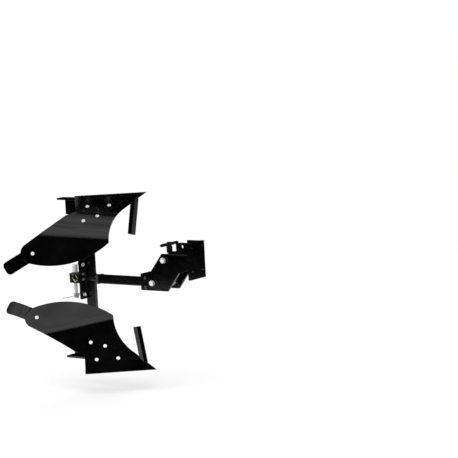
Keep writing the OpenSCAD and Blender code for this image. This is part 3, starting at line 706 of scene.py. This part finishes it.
def beam_welds():
    """Tube to the beam head and to the thrust plate."""
    half = TUBE_HALF + 0.2
    return [frame_run(HEAD_REAR - WELD_GAP, half), frame_run(TUBE_REAR + 0.5, half)]


def hitch_welds(gap=CLOSE_WELD_GAP):
    """Cheeks, ears and strap to each other and to the hitch plate, 1 mm short of corners."""
    runs = []
    plate = PLATE_REAR - gap
    above = CHEEK_TOP + gap
    for side in (-1, 1):
        outer = side * (CHEEK_OUT + gap)
        inner = side * (CHEEK_IN - gap)
        runs.append(upright(plate, outer, CHEEK_CORNER + 1, CHEEK_TOP - 1))
        runs.append(upright(plate, inner, CHEEK_CORNER + 1, CHEEK_TOP - 1))
        runs.append(level(EAR_REAR + 1, PLATE_REAR - 1, outer, above))
        runs.append(level(STRAP_REAR + 1, EAR_REAR - 1, outer, above))
        runs.append(upright(plate, inner, CHEEK_TOP + 1, PLATE_TOP - 1))
    return runs


for body, runs in (("rotor", rotor_welds()), ("beam", beam_welds()), ("hitch", hitch_welds())):
    bead = along_paths(body + "_weld_beads", BEAD, [metres(run) for run in runs], {
        "Bead Radius": 0.0022, "Ripple Pitch": 0.0016, "Seed": 7, "Finish": weld_paint})
    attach(bead, body)


# Threads

def bolt_tails():
    """Base and direction of each plough bolt's thread on the lower body, in mm.

    Two bolts are in the share, two in the roll and one on the flat at the tail.
    """
    spots = [SHARE @ shift(42 - SHARE_LENGTH, SHARE_WIDTH - 25, 0),
             SHARE @ shift(118 - SHARE_LENGTH, SHARE_WIDTH - 25, 0),
             on_board(31, 15.8), on_board(78, 6.2), on_board(-139, ROLL_ANGLE, 40)]
    grips = [PLATE + FROG] * 4 + [2 * PLATE]
    for place, grip in zip(spots, grips):
        out = (place.to_3x3() @ Vector((0, 0, -1))).normalized()
        yield place @ Vector((0, 0, -grip - WASHER - NUT)), out


upwards = Vector((0, 0, 1))
rotor_threads = []
for base, out in bolt_tails():
    rotor_threads += both_bodies(helix(base, out, *THREAD_8, TAIL_THREAD))
for y in (-FLANGE_BOLT_Y, FLANGE_BOLT_Y):
    for z in (-FLANGE_BOLT_Z, FLANGE_BOLT_Z):
        base = Vector((LATCH_PLATE_REAR - WASHER - NUT, y, z))
        rotor_threads.append(helix(base, Vector((-1, 0, 0)), *THREAD_8, TAIL_THREAD))
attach(wire_piece("bolt_threads", rotor_threads, FINE_RIDGE, 4, "zinc"), "rotor")

# the spindle's thread shows below and above the round nut, clear of its travel
spindle_threads = [helix(Vector((SCREW_X, 0, low)), upwards, *THREAD_12, high - low, 24)
                   for low, high in ((SPINDLE_LOW + 0.5, TILT_NUT_LOW - TILT_NUT_TRAVEL),
                                     (TILT_NUT_HIGH + TILT_NUT_TRAVEL, LOW_COLLAR - 1),
                                     (HIGH_COLLAR + 0.3, BOSS_LOW - 0.2))]
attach(wire_piece("spindle_thread", spindle_threads, COARSE_RIDGE, 4, "screw_zinc"),
                "pitch_screw")

pivot_base = Vector((PIVOT_X, CHEEK_OUT + HITCH_WASHER + HITCH_NUT + 0.1, PIVOT_Z))
pivot_thread = [helix(pivot_base, Vector((0, 1, 0)), *THREAD_12, TAIL_THREAD, 24)]
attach(wire_piece("pivot_bolt_thread", pivot_thread, COARSE_RIDGE, 4, "zinc"),
                "hitch")

rod_base = Vector((ROD_X, 0, ROD_NUT_FOOT - 0.1 - ROD_THREAD))
rod_thread = [helix(rod_base, upwards, *THREAD_10, ROD_THREAD, 20)]
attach(wire_piece("latch_rod_thread", rod_thread, FINE_RIDGE, 4, "zinc"), "latch")


# Latch spring and release wire

def spring_points(turns=8, steps=28):
    """A nearly even coil from the block down to the nut."""
    rise = SPRING_TOP - SPRING_FOOT - SPRING_WIRE
    count = turns * steps
    radius = (SPRING_OUTER - SPRING_WIRE) / 2
    points = []
    for i in range(count + 1):
        t = i / count
        ends = min(t, 1 - t) * turns
        lift = t + 0.012 * math.sin(2 * math.pi * t) * (1 if ends > 1 else ends)
        angle = 2 * math.pi * i / steps
        points.append(Vector((ROD_X + radius * math.cos(angle), radius * math.sin(angle),
                              SPRING_TOP - SPRING_WIRE / 2 - rise * lift)))
    return points


spring = wire_piece("wound_latch_spring", [spring_points()], SPRING_WIRE / 2, 12, "spring_steel")
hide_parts("latch_spring")
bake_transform(spring)


def wire_points(eye=7.0, drop=11.0, length=62.0, bend=3.0, sag=1.2, steps=12):
    """An open eye round the rod, a bent neck and a slightly drooping straight end."""
    points = [Vector((ROD_X - eye * math.cos(a), -eye * math.sin(a), EYE_Z))
              for a in (math.radians(d) for d in range(-338, 1, 13))]
    out = Vector((-math.cos(math.radians(drop)), 0, -math.sin(math.radians(drop))))
    neck = Vector((ROD_X - eye, 0, EYE_Z))
    points.append(neck + Vector((-1.2, -0.5, -0.1)))
    for i in range(1, steps + 1):
        t = i / steps
        hang = Vector((0, 0, -sag * t * (1 - t)))
        points.append(neck + out * (bend + (length - bend) * t) + hang)
    return points


release = wire_piece("bent_release_wire", [wire_points()], RELEASE_WIRE / 2, 12, "zinc")
release.data.materials[0] = wire_zinc
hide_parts("release_wire")
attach(release, "wire")


# Studio: a pale round floor, soft lights and the camera

def floor_white():
    """Plain white to the camera; reflections see painted pools of light that fade out towards the
    rim, and painted shadow in the middle under the plough.
    """
    f = Finish("floor_white")
    rim = f.add("ShaderNodeVectorMath", {0: f.place}, operation="LENGTH").outputs["Value"]
    shown = f.add("ShaderNodeLightPath").outputs["Is Camera Ray"]
    # painted light falloff: full brightness inwards, fading out towards the rim
    painted_falloff = f.maths("MINIMUM", f.span(rim, 1.2, 2.9, 1.0, 0.04), f.span(rim, 2.4, 2.7, 1.0, 0.02))
    # painted shadow: the middle, under the plough, a fifth darker
    painted_falloff = f.maths("MULTIPLY", painted_falloff, f.span(rim, 0.3, 1.1, 0.8, 1.0))
    # painted pools of light: cloudy brighter and darker patches on the reflected floor
    painted_light_pools = f.maths("MULTIPLY", painted_falloff, f.span(f.noise(4.5, 6, 0.7), 0.38, 0.62, 0.68, 1.24))
    pale = f.blend(painted_light_pools, (0.0, 0.0, 0.0), (0.92, 0.92, 0.92))
    pale = f.blend(shown, pale, (0.3, 0.3, 0.3))
    return f.feed(Base_Color=pale, Roughness=0.95, Specular_IOR_Level=0.0,
                  Emission_Color=(1.0, 1.0, 1.0),
                  Emission_Strength=f.maths("MULTIPLY", shown, 0.62))


def floor(radius=3.4, height=-0.478, rings=24, sides=96):
    """A flat disc of rings under the plough, with its middle below the frame's origin."""
    verts, faces = [(0, 0, height)], []
    for i in range(1, rings + 1):
        r = radius * i / rings
        for j in range(sides):
            a = 2 * math.pi * j / sides
            verts.append((r * math.cos(a), r * math.sin(a), height))
    for j in range(sides):
        faces.append((0, 1 + j, 1 + (j + 1) % sides))
        for i in range(1, rings):
            a, b = 1 + (i - 1) * sides, 1 + i * sides
            faces.append((a + j, b + j, b + (j + 1) % sides, a + (j + 1) % sides))
    mesh = bpy.data.meshes.new("floor")
    mesh.from_pydata(verts, [], faces)
    piece = bpy.data.objects.new("floor", mesh)
    bpy.context.scene.collection.objects.link(piece)
    piece.data.materials.append(floor_white())


def sun(name, azimuth, elevation, strength, spread):
    """A soft light that shows in no reflection; its heading and spread are in degrees."""
    lamp = bpy.data.lights.new(name, "SUN")
    lamp.energy = strength
    lamp.angle = math.radians(spread)
    piece = bpy.data.objects.new(name, lamp)
    piece.rotation_mode = "QUATERNION"
    piece.rotation_quaternion = heading(azimuth, elevation).to_track_quat("Z", "Y")
    piece.visible_glossy = False
    bpy.context.scene.collection.objects.link(piece)


def backdrop(shown=1.0, reflected=0.012):
    """A world that is white to the camera and adds next to nothing to light and reflections."""
    world = bpy.data.worlds.new("studio")
    bpy.context.scene.world = world
    world.use_nodes = True
    tree = world.node_tree
    background = next(n for n in tree.nodes if n.type == "BACKGROUND")
    rays = tree.nodes.new("ShaderNodeLightPath")
    strength = tree.nodes.new("ShaderNodeMapRange")
    strength.inputs["To Min"].default_value = reflected
    strength.inputs["To Max"].default_value = shown
    tree.links.new(rays.outputs["Is Camera Ray"], strength.inputs["Value"])
    tree.links.new(strength.outputs[0], background.inputs["Strength"])
    background.inputs["Color"].default_value = (1, 1, 1, 1)


def look_from(place, azimuth, elevation, roll, lens):
    """The scene's camera: its place in metres, its heading and roll in degrees, lens in mm."""
    camera = bpy.data.cameras.new("camera")
    camera.sensor_width = 36
    camera.lens = lens
    camera.clip_end = 200
    seat = bpy.data.objects.new("camera", camera)
    bpy.context.scene.collection.objects.link(seat)
    a, r = math.radians(azimuth), math.radians(roll)
    back = heading(azimuth, elevation)
    right = Vector((math.cos(a), math.sin(a), 0))
    up = back.cross(right)
    right, up = right * math.cos(r) + up * math.sin(r), up * math.cos(r) - right * math.sin(r)
    x, y, z = place
    seat.matrix_world = Matrix((
        (right.x, up.x, back.x, x), (right.y, up.y, back.y, y), (right.z, up.z, back.z, z),
        (0, 0, 0, 1)))
    bpy.context.scene.camera = seat


floor()
sun("left_soft", -40, 48, 1.7, 40)
sun("front_soft", 48, 58, 1.9, 40)
sun("low_front", 25, 14, 1.0, 50)
sun("back_soft", 200, 60, 1.6, 50)
backdrop()
look_from((2.73955, -3.86697, 0.66799), azimuth=33.955, elevation=6.818, roll=-2.845, lens=110.2)
bpy.context.scene.view_settings.view_transform = "Standard"
